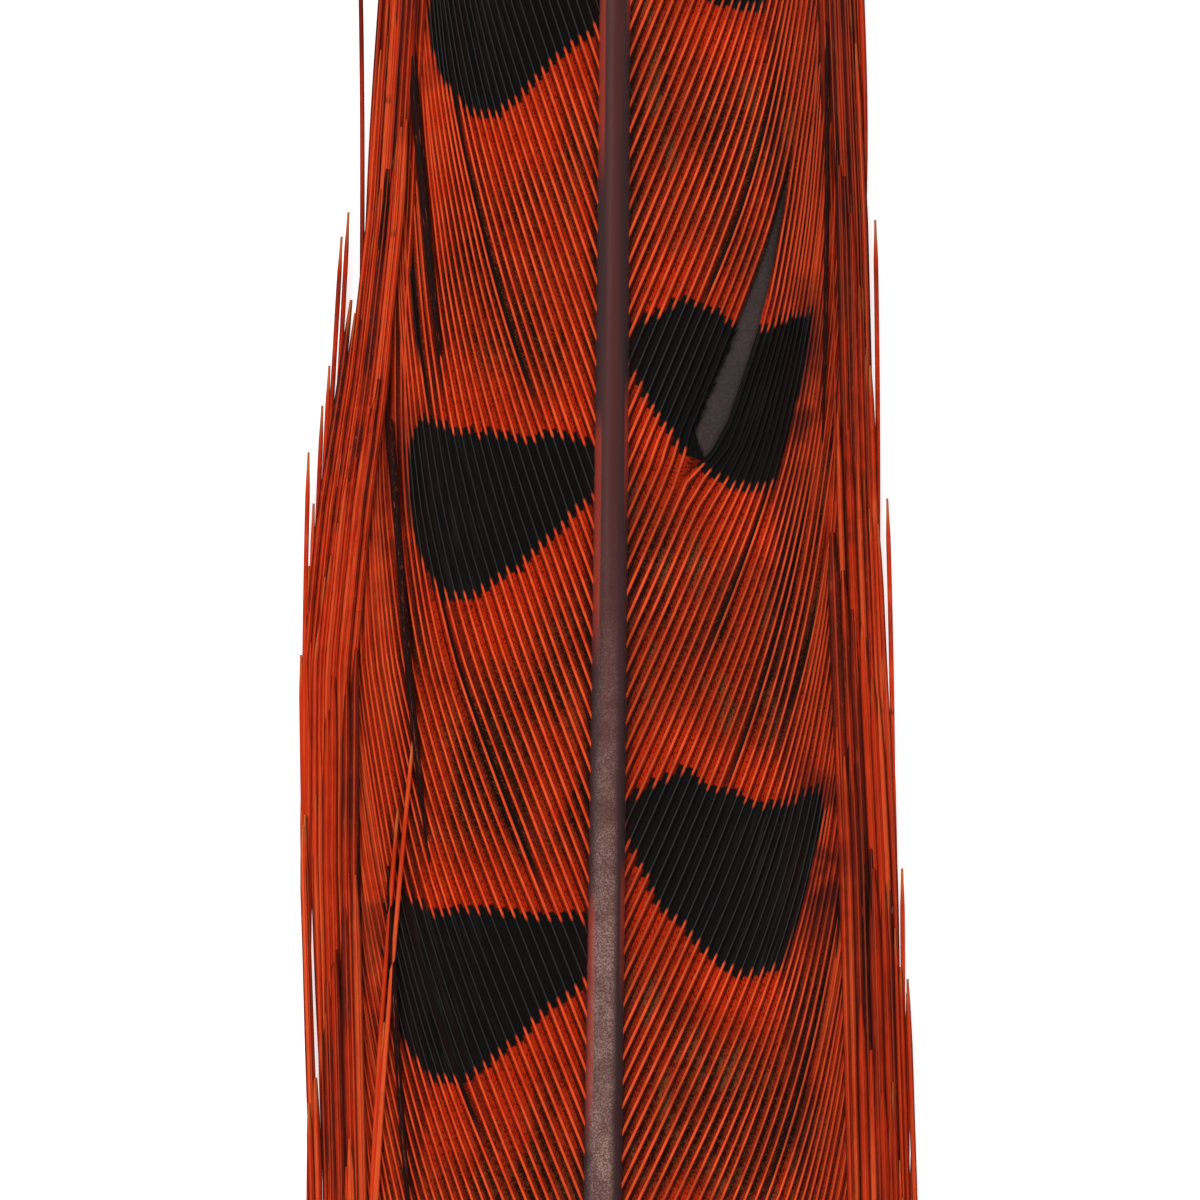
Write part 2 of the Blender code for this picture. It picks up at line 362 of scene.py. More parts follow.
def split_push(roots, reach, y):
    """How far the split moves each barb: outwards below it, and a little inwards above it."""
    below = SPLIT_ROOT - roots[:, None]
    # Barbs further below the split begin to turn aside sooner, so that they keep clear of their neighbours.
    start = SPLIT_PUSH_START - 0.8 * np.maximum(below, 0)
    rise = np.clip((y - start) / (SPLIT_WIDTH[0][0] - start), 0, 1)
    pushed = read_table(SPLIT_WIDTH, 1, y) * ease(rise, 0, 1) * ease(reach, 0.6, 2.4)
    outwards, inwards = PUSHED_OUT * np.exp(-below / SPLIT_DECAY), -PUSHED_IN * np.exp(below / 3)
    return pushed * np.where(below > 0, outwards, inwards)


def open_seams(side, roots, reach, y):
    """Barbs that leave the shaft just below a seam lie a little further out along it."""
    for root, strength, low, high in SEAMS[side]:
        below = root - roots[:, None]
        run = ease(y, low, low + 8) * (1 - ease(y, high - 8, high))
        reach = reach + 0.2 * strength * run * np.where(below > 0, np.exp(-below / 4), 0)
    return reach


def seam_shade_strength(side, roots, y):
    """How much painted shade a seam lays along each barb: darkest on the nearest one, and less on the next
    two.
    """
    seam = np.zeros_like(y)
    for root, strength, low, high in SEAMS[side]:
        nearest = int(np.argmin(np.abs(roots - root)))
        for next_barb, share in enumerate((1.0, 0.5, 0.3)):
            barb = min(nearest + next_barb, len(roots) - 1)
            run = ease(y[barb], low, low + 6) * (1 - ease(y[barb], high - 5, high))
            seam[barb] = np.maximum(seam[barb], strength * share * run)
    return seam


def neighbour_gaps(reach, y):
    """How far it is from each barb to the next one in, and to the next one out."""
    grid = np.arange(VANE_START - 2, FEATHER_TIP + 2, 0.5)
    last = len(reach) - 1
    at_grid = [np.interp(grid, barb_y, barb_reach) for barb_y, barb_reach in zip(y, reach)]
    inner_gap, outer_gap = np.empty_like(reach), np.empty_like(reach)
    for i in range(last + 1):
        inner_gap[i] = reach[i] - np.interp(y[i], grid, at_grid[min(i + 1, last)])
        outer_gap[i] = np.interp(y[i], grid, at_grid[max(i - 1, 0)]) - reach[i]
    inner_gap[-1], outer_gap[0] = outer_gap[-1], inner_gap[0]
    return inner_gap, outer_gap


def web_halves(random, side, roots, reach, y):
    """How wide each barb's web is, on its inner and on its outer side."""
    inner_gap, outer_gap = neighbour_gaps(reach, y)
    tangent_x, tangent_y = np.gradient(reach, axis=1), np.gradient(y, axis=1)
    lean = tangent_y / np.hypot(tangent_x, tangent_y)
    out = reach / half_width(side, y)
    fringe, at_edge = ease(out, *FRINGE), ease(out, 0.9, 0.98)
    one_a_barb = len(roots), 1
    strand_half = random.uniform(0.15, 0.3, one_a_barb) * (1 - at_edge)
    strand_half = strand_half + random.uniform(0.11, 0.18, one_a_barb) * at_edge
    inner_half, outer_half = (
        np.clip(0.56 * gap * lean, NARROWEST_WEB, WIDEST_WEB) * (1 - fringe) + strand_half * fringe
        for gap in (inner_gap, outer_gap)
    )
    if side == RIGHT:
        # The web beside the split is narrow along it, and closes it below its lower end.
        right_side, left_side = split_neighbours(roots)
        low, high = SPLIT_LOW_END[RIGHT], SPLIT_LOW_END[LEFT]
        below_top = 1 - ease(y, SPLIT_TOP - 1, SPLIT_TOP)
        open_here = np.clip((y - low) / (high - low), 0, 1) * below_top
        closed = np.maximum(outer_gap + 0.12, NARROWEST_WEB)
        bridge = np.where((y > 2) & (y < high), closed, outer_half)
        own = ease(y, 4.8, 5.8) * below_top
        inner_half[right_side] += (0.17 - inner_half[right_side]) * own[right_side]
        outer_half[left_side] = (bridge + (0.16 - bridge) * open_here)[left_side]
    return inner_half, outer_half


def barb_lines(side, settings):
    """The middle line of every barb of one vane, with all that its web and its colours need."""
    random = np.random.default_rng(SEED + side)
    roots, lengths, locks = barb_roots(random, side, settings)
    count = len(roots)
    along, reach, y = trace_barbs(side, settings, roots, lengths)
    reach = level_off(reach, locks * half_width(side, y))
    # Locks of barbs lie a little apart.
    out = reach / half_width(side, y)
    apart = 0.1 * wander(random, count, 3.5)[:, None]
    reach = reach + apart * ease(out, 0.15, 0.7) * (1 - ease(out, 0.85, 1))
    split = split_push(roots, reach, y) if side == RIGHT else np.zeros_like(reach)
    reach = open_seams(side, roots, reach + split, y)

    out = reach / half_width(side, y)
    inner_half, outer_half = web_halves(random, side, roots, reach, y)
    seam = seam_shade_strength(side, roots, y)
    # Towards its tip a barb lies on those that leave the shaft further up.
    height = vane_height(side, reach, y) - 0.12 * seam + 0.4 * ease(along / lengths[:, None], 0.5, 1.0)
    height = height + 0.02 * random.normal(0, 1, (count, 1)) * ease(out, *FRINGE)
    jitter = (random.normal(0, 0.07, count) + 0.17 * wander(random, count, 2.5))[:, None]
    tone = np.clip(0.5 + 0.22 * wander(random, count, 2.5) + random.normal(0, 0.25, count), 0, 1)
    return {
        "side": side,
        "x": shaft_middle(y) + side * reach,
        "y": y,
        "z": height,
        "inner_half": inner_half,
        "outer_half": outer_half,
        "along": along,
        "to_tip": lengths[:, None] - along,
        "reach": out,
        "bar": bar_depth(side, reach, y + jitter, settings.bar_spacing / MM),
        "seam": seam,
        "split": np.abs(split),
        "tone": np.broadcast_to(tone[:, None], reach.shape),
    }


# ---------------------------------------------------------------------------------------------------
# Meshes of many strands


def strand_points(lines, across, up):
    """Each strand's corners, set square to its middle line."""
    side = lines["side"]
    middle = np.stack([lines["x"], lines["y"], lines["z"]], axis=2)
    tangent = np.gradient(middle, axis=1)
    size = np.maximum(np.hypot(tangent[..., 0], tangent[..., 1]), 1e-9)
    inner = np.stack([-side * tangent[..., 1] / size, side * tangent[..., 0] / size], axis=2)
    points = np.repeat(middle[:, :, None, :], across.shape[2], axis=2)
    points[..., :2] += across[..., None] * inner[:, :, None, :]
    points[..., 2] += up
    return points


def strand_faces(shape, side):
    """The corner numbers of every wall face, and of the two caps of each strand."""
    index = np.arange(math.prod(shape)).reshape(shape)
    follow = np.roll(index, -1, axis=2)
    quads = np.stack([index[:, :-1], follow[:, :-1], follow[:, 1:], index[:, 1:]], axis=-1)
    start_caps, end_caps = index[:, 0, ::-1], index[:, -1]
    if side == LEFT:
        quads, start_caps, end_caps = quads[..., ::-1], start_caps[:, ::-1], end_caps[:, ::-1]
    return quads.reshape(-1, 4), np.concatenate([start_caps, end_caps]).reshape(-1, shape[2])


def lay_map(mesh, across, widest, loops, cap_start):
    """Gives each strand its own strip of the map, which its top and its underside share."""
    count, stations, _ = across.shape
    strip = (np.arange(count)[:, None, None] + 0.5 + 0.46 * across / widest) / count
    run = np.broadcast_to(np.linspace(0.006, 0.994, stations)[None, :, None], strip.shape)
    loop_map = np.stack([run.ravel(), strip.ravel()], axis=1)[loops]
    wobble = 0.004 * (np.arange(len(loops) - cap_start) % 2)
    loop_map[cap_start:, 0] += np.where(loop_map[cap_start:, 0] < 0.5, -wobble, wobble)
    mesh.uv_layers.new(name="OFBake").data.foreach_set("uv", loop_map.ravel().astype(np.float32))


def strands_mesh(name, lines, across, up, smooth):
    """One mesh of closed strands. lines gives each strand's middle line, and across and up its section,
    counted round from the inner side over the top, at each station."""
    quads, caps = strand_faces(across.shape, lines["side"])
    loops = np.concatenate([quads.ravel(), caps.ravel()])
    sizes = np.concatenate([np.full(len(quads), 4), np.full(len(caps), across.shape[2])])
    mesh = bpy.data.meshes.new(name)
    mesh.vertices.add(across.size)
    mesh.vertices.foreach_set("co", (strand_points(lines, across, up) * MM).ravel())
    mesh.loops.add(len(loops))
    mesh.loops.foreach_set("vertex_index", loops)
    mesh.polygons.add(len(sizes))
    mesh.polygons.foreach_set("loop_start", np.concatenate([[0], np.cumsum(sizes)[:-1]]))
    mesh.update(calc_edges=True)
    mesh.polygons.foreach_set("use_smooth", np.full(len(sizes), smooth))

    widest = np.maximum(np.abs(across).max(axis=2, keepdims=True), 1e-9)
    lay_map(mesh, across, widest, loops, quads.size)
    values = {"across": across / widest}
    for key in ("along", "to_tip", "reach", "bar", "seam", "split", "tone"):
        if key in lines:
            values[key] = np.broadcast_to(lines[key][:, :, None], across.shape)
    for key, value in values.items():
        attribute = mesh.attributes.new(key, "FLOAT", "POINT")
        attribute.data.foreach_set("value", value.ravel().astype(np.float32))
    if mesh.validate():
        raise RuntimeError(f"{name} has faces that don't fit together")
    return mesh


def add_piece(context, mesh, material, replaced=()):
    piece = bpy.data.objects.new(mesh.name, mesh)
    context.scene.collection.objects.link(piece)
    mesh.materials.append(material)
    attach(piece, "root")
    if replaced:
        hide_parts(*replaced)
    return piece


def round_section(radius, lift, corners=5):
    """The corners of a round strand's section, first the inner side and then over the top."""
    angles = np.arange(corners) * 2 * math.pi / corners + math.pi / 2 - 2 * math.pi / corners
    across = radius[..., None] * np.cos(angles)
    up = radius[..., None] * 0.9 * np.sin(angles) + lift
    return across, up


def web_section(lines):
    """The corners of a barb's web: its inner edge, its crest, its outer edge and its underside."""
    taper = 0.4 + 0.6 * ease(lines["to_tip"], 0.0, 2.5)
    inner = lines["inner_half"] * taper
    outer = lines["outer_half"] * taper
    flat = np.zeros_like(inner)
    across = np.stack([inner, flat, -outer, flat], axis=2)
    up = np.stack([flat - 0.03, flat + 0.025, flat - 0.075, flat - 0.05], axis=2)
    return across, up


# ---------------------------------------------------------------------------------------------------
# Materials


class Shading:
    """Builds one material's nodes."""

    def __init__(self, name):
        self.material = bpy.data.materials.new(name)
        self.material.use_nodes = True
        self.tree = self.material.node_tree
        self.surface = self.tree.nodes["Principled BSDF"]
        self.coordinates = self.tree.nodes.new("ShaderNodeTexCoord").outputs["Object"]

    def link(self, value, socket):
        if isinstance(value, bpy.types.NodeSocket):
            self.tree.links.new(value, socket)
        else:
            socket.default_value = value

    def attribute(self, name):
        node = self.tree.nodes.new("ShaderNodeAttribute")
        node.attribute_name = name
        return node.outputs["Fac"]

    def math(self, operation, first, second=0.0, clamp=False):
        node = self.tree.nodes.new("ShaderNodeMath")
        node.operation = operation
        node.use_clamp = clamp
        self.link(first, node.inputs[0])
        self.link(second, node.inputs[1])
        return node.outputs[0]

    def times(self, *values):
        """The product of all the values."""
        product = values[0]
        for value in values[1:]:
            product = self.math("MULTIPLY", product, value)
        return product

    def plus(self, first, second, clamp=False):
        return self.math("ADD", first, second, clamp)

    def minus(self, first, second):
        return self.math("SUBTRACT", first, second)

    def absolute(self, value):
        return self.math("ABSOLUTE", value)

    def band(self, value, start, end, low=0.0, high=1.0):
        """low where value is before start, high after end, smooth between them."""
        node = self.tree.nodes.new("ShaderNodeMapRange")
        node.interpolation_type = "SMOOTHSTEP"
        self.link(value, node.inputs["Value"])
        turned = start > end
        node.inputs["From Min"].default_value = end if turned else start
        node.inputs["From Max"].default_value = start if turned else end
        node.inputs["To Min"].default_value = high if turned else low
        node.inputs["To Max"].default_value = low if turned else high
        return node.outputs["Result"]

    def mix(self, share, first, second):
        node = self.tree.nodes.new("ShaderNodeMix")
        node.data_type = "RGBA"
        self.link(share, node.inputs["Factor"])
        self.link(first, node.inputs["A"])
        self.link(second, node.inputs["B"])
        return node.outputs["Result"]

    def join(self, x, y, z=0.0):
        node = self.tree.nodes.new("ShaderNodeCombineXYZ")
        for value, socket in zip((x, y, z), node.inputs):
            self.link(value, socket)
        return node.outputs[0]

    def split(self, vector):
        node = self.tree.nodes.new("ShaderNodeSeparateXYZ")
        self.link(vector, node.inputs[0])
        return node.outputs

    def noise(self, vector, scale, detail=2.0, rough=0.5):
        node = self.tree.nodes.new("ShaderNodeTexNoise")
        self.link(vector, node.inputs["Vector"])
        node.inputs["Scale"].default_value = scale
        node.inputs["Detail"].default_value = detail
        node.inputs["Roughness"].default_value = rough
        return node.outputs["Fac"]

    def grain(self, scale, detail):
        """Noise in the piece's own space."""
        return self.noise(self.coordinates, scale, detail)

    def ramp(self, value, stops):
        node = self.tree.nodes.new("ShaderNodeValToRGB")
        elements = node.color_ramp.elements
        while len(elements) < len(stops):
            elements.new(0.5)
        for element, (position, shade) in zip(elements, stops):
            element.position = position
            element.color = shade
        self.link(value, node.inputs["Fac"])
        return node.outputs["Color"]

    def bump(self, height, strength, distance):
        node = self.tree.nodes.new("ShaderNodeBump")
        self.link(height, node.inputs["Height"])
        node.inputs["Strength"].default_value = strength
        node.inputs["Distance"].default_value = distance
        self.link(node.outputs["Normal"], self.surface.inputs["Normal"])

    def finish(self, colour, roughness, specular, sheen=0.0):
        self.link(colour, self.surface.inputs["Base Color"])
        self.link(roughness, self.surface.inputs["Roughness"])
        self.surface.inputs["Specular IOR Level"].default_value = specular
        self.surface.inputs["Sheen Weight"].default_value = sheen
        return self.material


def strand_shade(shading, side):
    """The colour of a loose strand in the fringe, which changes from barb to barb and along each."""
    y = shading.split(shading.coordinates)[1]
    above, below = (0.03, 0.24) if side == LEFT else (-0.09, 0.12)
    tone = shading.plus(shading.attribute("tone"), shading.band(y, 15 * MM, -5 * MM, above, below))
    along = shading.attribute("along")
    place = shading.join(shading.times(along, 0.16), shading.times(tone, 37.0))
    drift = shading.minus(shading.noise(place, 1.0, 3.0), 0.5)
    value = shading.plus(tone, shading.times(drift, 1.1), clamp=True)
    shade = shading.ramp(
        value,
        (
            (0.0, tint(30, 12, 10)),
            (0.16, tint(84, 26, 20)),
            (0.34, tint(134, 32, 12)),
            (0.52, tint(184, 44, 13)),
            (0.78, tint(216, 58, 18)),
            (1.0, tint(236, 88, 42)),
        ),
    )
    # Fine streaks run along each strand.
    streak_place = shading.join(
        shading.times(along, 0.35),
        shading.times(shading.attribute("across"), 1.6),
        shading.times(tone, 90.0),
    )
    streaks = shading.noise(streak_place, 2.0, 3.0, 0.65)
    shade = shading.mix(shading.band(streaks, 0.48, 0.32, 0.0, 0.4), shade, tint(66, 18, 10))
    shade = shading.mix(shading.band(streaks, 0.58, 0.74, 0.0, 0.45), shade, tint(242, 100, 58))
    # Small dark dashes.
    dash_place = shading.join(shading.times(along, 1.3), shading.times(tone, 211.0))
    dashes = shading.band(shading.noise(dash_place, 1.0, 2.0), 0.67, 0.8)
    shade = shading.mix(shading.times(dashes, 0.6), shade, tint(58, 34, 34))
    # Tan tips along the outline.
    tip = shading.band(shading.attribute("to_tip"), 1.8, 0.3)
    at_edge = shading.band(shading.attribute("reach"), 0.92, 0.98, 0.0, 0.75)
    return shading.mix(shading.times(tip, at_edge), shade, tint(206, 114, 58))


def beside_bar(shading, side, settings):
    """How much of the dark smudge beside each bar, just outside the vane, falls on a point."""
    y = shading.split(shading.coordinates)[1]
    spacing = settings.bar_spacing
    first = (BAR_MIDDLE[side] + 1.0) * MM
    phase = shading.math("PINGPONG", shading.minus(y, first), spacing / 2)
    along_edge = shading.band(phase, 0.3 * spacing, 0.08 * spacing)
    reach = shading.attribute("reach")
    across_edge = shading.times(shading.band(reach, 0.64, 0.7), shading.band(reach, 0.88, 0.76))
    patches = shading.band(shading.grain(420.0, 3.0), 0.36, 0.56)
    return shading.times(along_edge, patches, across_edge, 0.55 if side == LEFT else 0.85)


def barbule_shade(shading, side, settings, near_bar):
    """The web's colour by how near a bar it is: warm beside it, and dark and worn between two."""
    most_warm, by_bar, most_worn = (0.7, 0.8, 0.35) if side == LEFT else (0.45, 0.65, 0.85)
    stretched = shading.tree.nodes.new("ShaderNodeMapping")
    stretched.inputs["Scale"].default_value = (1.0, 0.35, 1.0)
    shading.link(shading.coordinates, stretched.inputs["Vector"])
    patches = shading.noise(stretched.outputs["Vector"], 520.0, 3.0)
    warmth = shading.plus(shading.band(patches, 0.42, 0.62, 0.0, most_warm), shading.times(near_bar, by_bar))
    warmth = shading.math("MINIMUM", warmth, 1.0)
    shade = shading.mix(warmth, tuple(settings.web_dark), tuple(settings.web_warm))
    worn = shading.band(shading.noise(stretched.outputs["Vector"], 900.0, 2.0), 0.52, 0.68, 0.0, most_worn)
    worn = shading.times(worn, shading.band(near_bar, 0.7, 0.2))
    return shading.mix(worn, shade, tuple(settings.web_brown))


def web_material(side, settings):
    """Barbules: warm beside a bar, dark and worn between bars, black in a bar, one strand in the fringe."""
    shading = Shading("left_web_dye_and_shade" if side == LEFT else "right_web_dye_and_shade")
    across, along = shading.attribute("across"), shading.attribute("along")
    reach, bar = shading.attribute("reach"), shading.attribute("bar")
    near_bar = shading.band(bar, -4.2, -0.4)
    shade = barbule_shade(shading, side, settings, near_bar)

    # Painted light and shade: the inner side is painted bright beside the stem as if lit, and the outer side
    # is painted dark as the shade of its neighbour.
    painted_glow = shading.times(shading.band(across, 0.95, 0.25), shading.band(across, -0.12, 0.05), 0.55)
    shade = shading.mix(painted_glow, shade, tint(188, 44, 3))
    shade = shading.mix(shading.band(across, -0.15, -0.6, 0.0, 0.75), shade, tint(40, 8, 2))

    # Barbules cross the web slantwise.
    slant = shading.plus(along, shading.times(shading.absolute(across), -0.35))
    barbules = shading.math("SINE", shading.times(slant, 2 * math.pi / BARBULE_SPACING))
    fine = shading.plus(shading.times(barbules, 0.12), shading.grain(7000.0, 1.0))
    brown_specks = shading.times(shading.band(fine, 0.53, 0.72), shading.band(near_bar, 0.9, 0.2, 0.2, 0.5))
    shade = shading.mix(brown_specks, shade, tint(120, 62, 28))
    shade = shading.mix(shading.band(fine, 0.47, 0.3, 0.0, 0.7), shade, tint(24, 8, 4))

    # In the fringe each web is a single strand, with painted shade darkening it along its edges.
    strand_edge_shade = shading.band(shading.absolute(across), 0.4, 0.9, 0.0, 0.85)
    strand = shading.mix(strand_edge_shade, strand_shade(shading, side), tint(48, 13, 7))
    shade = shading.mix(shading.band(reach, 0.66, 0.9), shade, strand)
    shade = shading.mix(beside_bar(shading, side, settings), shade, tint(50, 18, 16))

    # A bar is black, with grey fibres towards its outer end.
    row = shading.times(shading.attribute("tone"), 50.0)
    fibre_place = shading.join(shading.times(along, 0.25), shading.times(across, 2.0), row)
    fibres = shading.band(shading.noise(fibre_place, 1.6, 2.0), 0.45, 0.7)
    greyness = shading.times(fibres, shading.band(reach, 0.3, 0.62, 0.12, 0.8))
    black = shading.mix(greyness, tuple(settings.bar), tint(42, 39, 37))
    shade = shading.mix(shading.band(bar, -0.06, 0.06), shade, black)

    # The vane's edge, where the fringe begins, lies in a broken line of shade.
    shifted = shading.plus(reach, shading.times(shading.grain(160.0, 2.0), 0.12))
    shade_line = shading.times(shading.band(shifted, 0.66, 0.69), shading.band(shifted, 0.77, 0.72), 0.6)
    shade = shading.mix(shade_line, shade, tint(34, 14, 10))
    # Painted shade along each seam: over the web's inner half, and over all of it where the seam is
    # strongest.
    seam = shading.attribute("seam")
    seam_shade_width = shading.math("MAXIMUM", shading.band(across, 0.0, 0.2), shading.band(seam, 0.8, 0.95))
    shade = shading.mix(shading.times(shading.band(seam, 0.1, 0.6), seam_shade_width), shade, tint(28, 14, 10))
    # Painted shadow of the shaft on the web near each barb's root.
    shade = shading.mix(shading.band(along, 2.6, 1.2, 0.0, 0.6), shade, tint(34, 14, 8))
    shading.bump(fine, 0.35, 0.03 * MM)
    return shading.finish(shade, 0.7, 0.06)


def ramus_material(side, settings):
    """The stem of a barb: bright dye, thin grey lines in a bar, and its strand's colour in the fringe."""
    shading = Shading("left_ramus_dye_and_shade" if side == LEFT else "right_ramus_dye_and_shade")
    deep = tint(234, 68, 27) if side == LEFT else tint(228, 84, 38)
    patch_dim, edge_dim = (0.2, 0.15) if side == LEFT else (0.5, 0.45)
    reach, bar = shading.attribute("reach"), shading.attribute("bar")
    shade = shading.mix(shading.band(shading.grain(900.0, 3.0), 0.35, 0.7), tuple(settings.ramus), deep)
    dim = shading.band(shading.grain(260.0, 3.0), 0.42, 0.6, 0.0, patch_dim)
    dim = shading.math("MAXIMUM", dim, shading.band(reach, 0.55, 0.75, 0.0, edge_dim))
    shade = shading.mix(dim, shade, tint(130, 36, 14))
    fringe = shading.band(reach, 0.72, 0.9, 0.0, 0.65)
    shade = shading.mix(fringe, shade, strand_shade(shading, side))
    shade = shading.mix(beside_bar(shading, side, settings), shade, tint(92, 28, 20))
    # Thin grey lines run through a bar, but not where the split has turned the stems.
    crest = shading.band(shading.absolute(shading.attribute("across")), 0.8, 0.3)
    crest = shading.times(crest, shading.band(shading.attribute("split"), 0.25, 0.02))
    in_bar = shading.mix(crest, tint(14, 12, 11), tint(44, 41, 41))
    shade = shading.mix(shading.band(bar, 0.18, 0.42), shade, in_bar)
    # Painted shade on the stems along the strongest seams.
    shade = shading.mix(shading.band(shading.attribute("seam"), 0.75, 0.95), shade, tint(34, 20, 15))
    shading.bump(shading.grain(9000.0, 1.0), 0.2, 0.01 * MM)
    return shading.finish(shade, 0.5, 0.12)


def loose_material():
    """A loose strand: the fringe's colours, with painted shade along its edges."""
    shading = Shading("loose_strand_dye_and_shade")
    edge = shading.band(shading.absolute(shading.attribute("across")), 0.5, 1.0, 0.0, 0.5)
    shade = shading.mix(edge, strand_shade(shading, RIGHT), tint(70, 18, 9))
    shading.bump(shading.grain(6000.0, 1.0), 0.3, 0.02 * MM)
    return shading.finish(shade, 0.6, 0.07)


def split_shade_material():
    """Painted shadow for the split: smooth grey-brown, with more painted shade along its edges and towards
    its top.
    """
    shading = Shading("split_painted_shade")
    shade = shading.mix(shading.grain(260.0, 3.0), tint(47, 39, 38), tint(66, 55, 54))
    edge = shading.band(shading.absolute(shading.attribute("across")), 0.55, 1.0, 0.0, 0.7)
    shade = shading.mix(edge, shade, tint(22, 17, 16))
    top_shade = shading.band(shading.attribute("to_tip"), 8.0, 2.0, 0.0, 0.6)
    shade = shading.mix(top_shade, shade, tint(34, 26, 25))
    grain = shading.grain(8000.0, 2.0)
    shade = shading.mix(shading.band(grain, 0.4, 0.7, 0.0, 0.25), shade, tint(92, 78, 74))
    shading.bump(grain, 0.2, 0.02 * MM)
    return shading.finish(shade, 0.6, 0.1)


def fuzz_material():
    shading = Shading("split_fuzz_black")
    shade = shading.mix(shading.grain(3000.0, 1.0), tint(10, 8, 8), tint(26, 22, 21))
    return shading.finish(shade, 0.7, 0.06)


def dyed_edges(shading, shade, edge, y, settings, bar_spacing):
    """Lays red dye along both edges of the shaft, below each bar and beside it."""
    for side, inner, outer, low, high, strength in (
        (LEFT, 0.62, 0.84, -7.5, 3.0, 0.65),
        (RIGHT, 0.78, 0.9, -6.5, -1.0, 0.6),
    ):
        first = (BAR_MIDDLE[side] + low) * MM
        phase = shading.math("WRAP", shading.minus(y, first), bar_spacing)
        phase.node.inputs[2].default_value = 0.0
        fade_in = shading.band(phase, 0.0, 4.0 * MM)
        fade_out = shading.band(phase, (high - low + 2.0) * MM, (high - low) * MM)
        signed = shading.times(edge, float(side))
        place = shading.times(shading.band(signed, inner - 0.12, inner), shading.band(signed, 1.0, outer))
        stripe = shading.times(shading.times(fade_in, fade_out), place, strength)
        shade = shading.mix(stripe, shade, tuple(settings.dyed_edge))
    return shade


def shaft_material(settings, bar_spacing):
    """Red-brown core and grey flanks, red dye along the edges near each bar, and lower down mealy flecks
    painted pale as the shaft's sheen.
    """
    shading = Shading("shaft_keratin_brown")
    edge = shading.attribute("across")
    y = shading.split(shading.coordinates)[1]
    off_middle = shading.band(shading.absolute(edge), 0.2, 0.7)
    shade = shading.mix(off_middle, tuple(settings.core), tuple(settings.flank))
    streak_place = shading.join(shading.times(edge, 2.2), shading.times(y, 90.0))
    streaks = shading.noise(streak_place, 1.0, 4.0)
    shade = shading.mix(shading.band(streaks, 0.35, 0.7, 0.0, 0.35), shade, tint(94, 52, 50))
    shade = dyed_edges(shading, shade, edge, y, settings, bar_spacing)

    # Lower down, pale mealy flecks on the top of the shaft, painted bright to stand in for its sheen.
    lower = shading.band(y, 6 * MM, -22 * MM)
    on_top = shading.times(shading.band(edge, -0.95, -0.45), shading.band(edge, 0.64, 0.25))
    flecks = shading.grain(12000.0, 1.5)
    sheen_patches = shading.band(shading.grain(900.0, 2.0), 0.3, 0.6, 0.45, 1.0)
    meal_and_sheen = shading.times(lower, on_top, sheen_patches, shading.band(flecks, 0.38, 0.7, 0.2, 0.75))
    shade = shading.mix(meal_and_sheen, shade, tuple(settings.meal_and_sheen))
    # Painted shade in fine creases across the lower shaft.
    crease_place = shading.join(shading.times(edge, 0.8), shading.times(y, 420.0), 3.0)
    crease_shade = shading.times(shading.band(shading.noise(crease_place, 1.0, 2.0), 0.6, 0.74), lower, 0.6)
    shade = shading.mix(crease_shade, shade, tint(70, 40, 42))
    shade = shading.mix(shading.band(y, -120 * MM, -175 * MM), shade, tuple(settings.horn))
    shading.bump(shading.plus(flecks, shading.times(streaks, 0.6)), 0.25, 0.02 * MM)
    return shading.finish(shade, shading.band(lower, 0.0, 1.0, 0.42, 0.55), 0.16)


def down_material(settings):
    """Soft down, dyed deeper at its root."""
    shading = Shading("pale_down_dye")
    drift = shading.times(shading.minus(shading.grain(300.0, 2.0), 0.5), 0.8)
    value = shading.plus(shading.attribute("reach"), drift, clamp=True)
    shade = shading.mix(value, tuple(settings.dyed), tuple(settings.pale))
    shading.bump(shading.grain(5000.0, 1.0), 0.3, 0.02 * MM)
    return shading.finish(shade, 0.75, 0.15, 0.2)


def table_material():
    shading = Shading("table_white")
    shade = shading.mix(shading.grain(60.0, 2.0), (0.80, 0.80, 0.80, 1.0), (0.83, 0.83, 0.83, 1.0))
    shading.surface.inputs["Emission Color"].default_value = (1.0, 1.0, 1.0, 1.0)
    shading.surface.inputs["Emission Strength"].default_value = 0.65
    return shading.finish(shade, 0.9, 0.1)


# ---------------------------------------------------------------------------------------------------
# Operators


def deselect_all():
    if bpy.context.mode != "OBJECT":
        bpy.ops.object.mode_set(mode="OBJECT")
    bpy.ops.object.select_all(action="DESELECT")


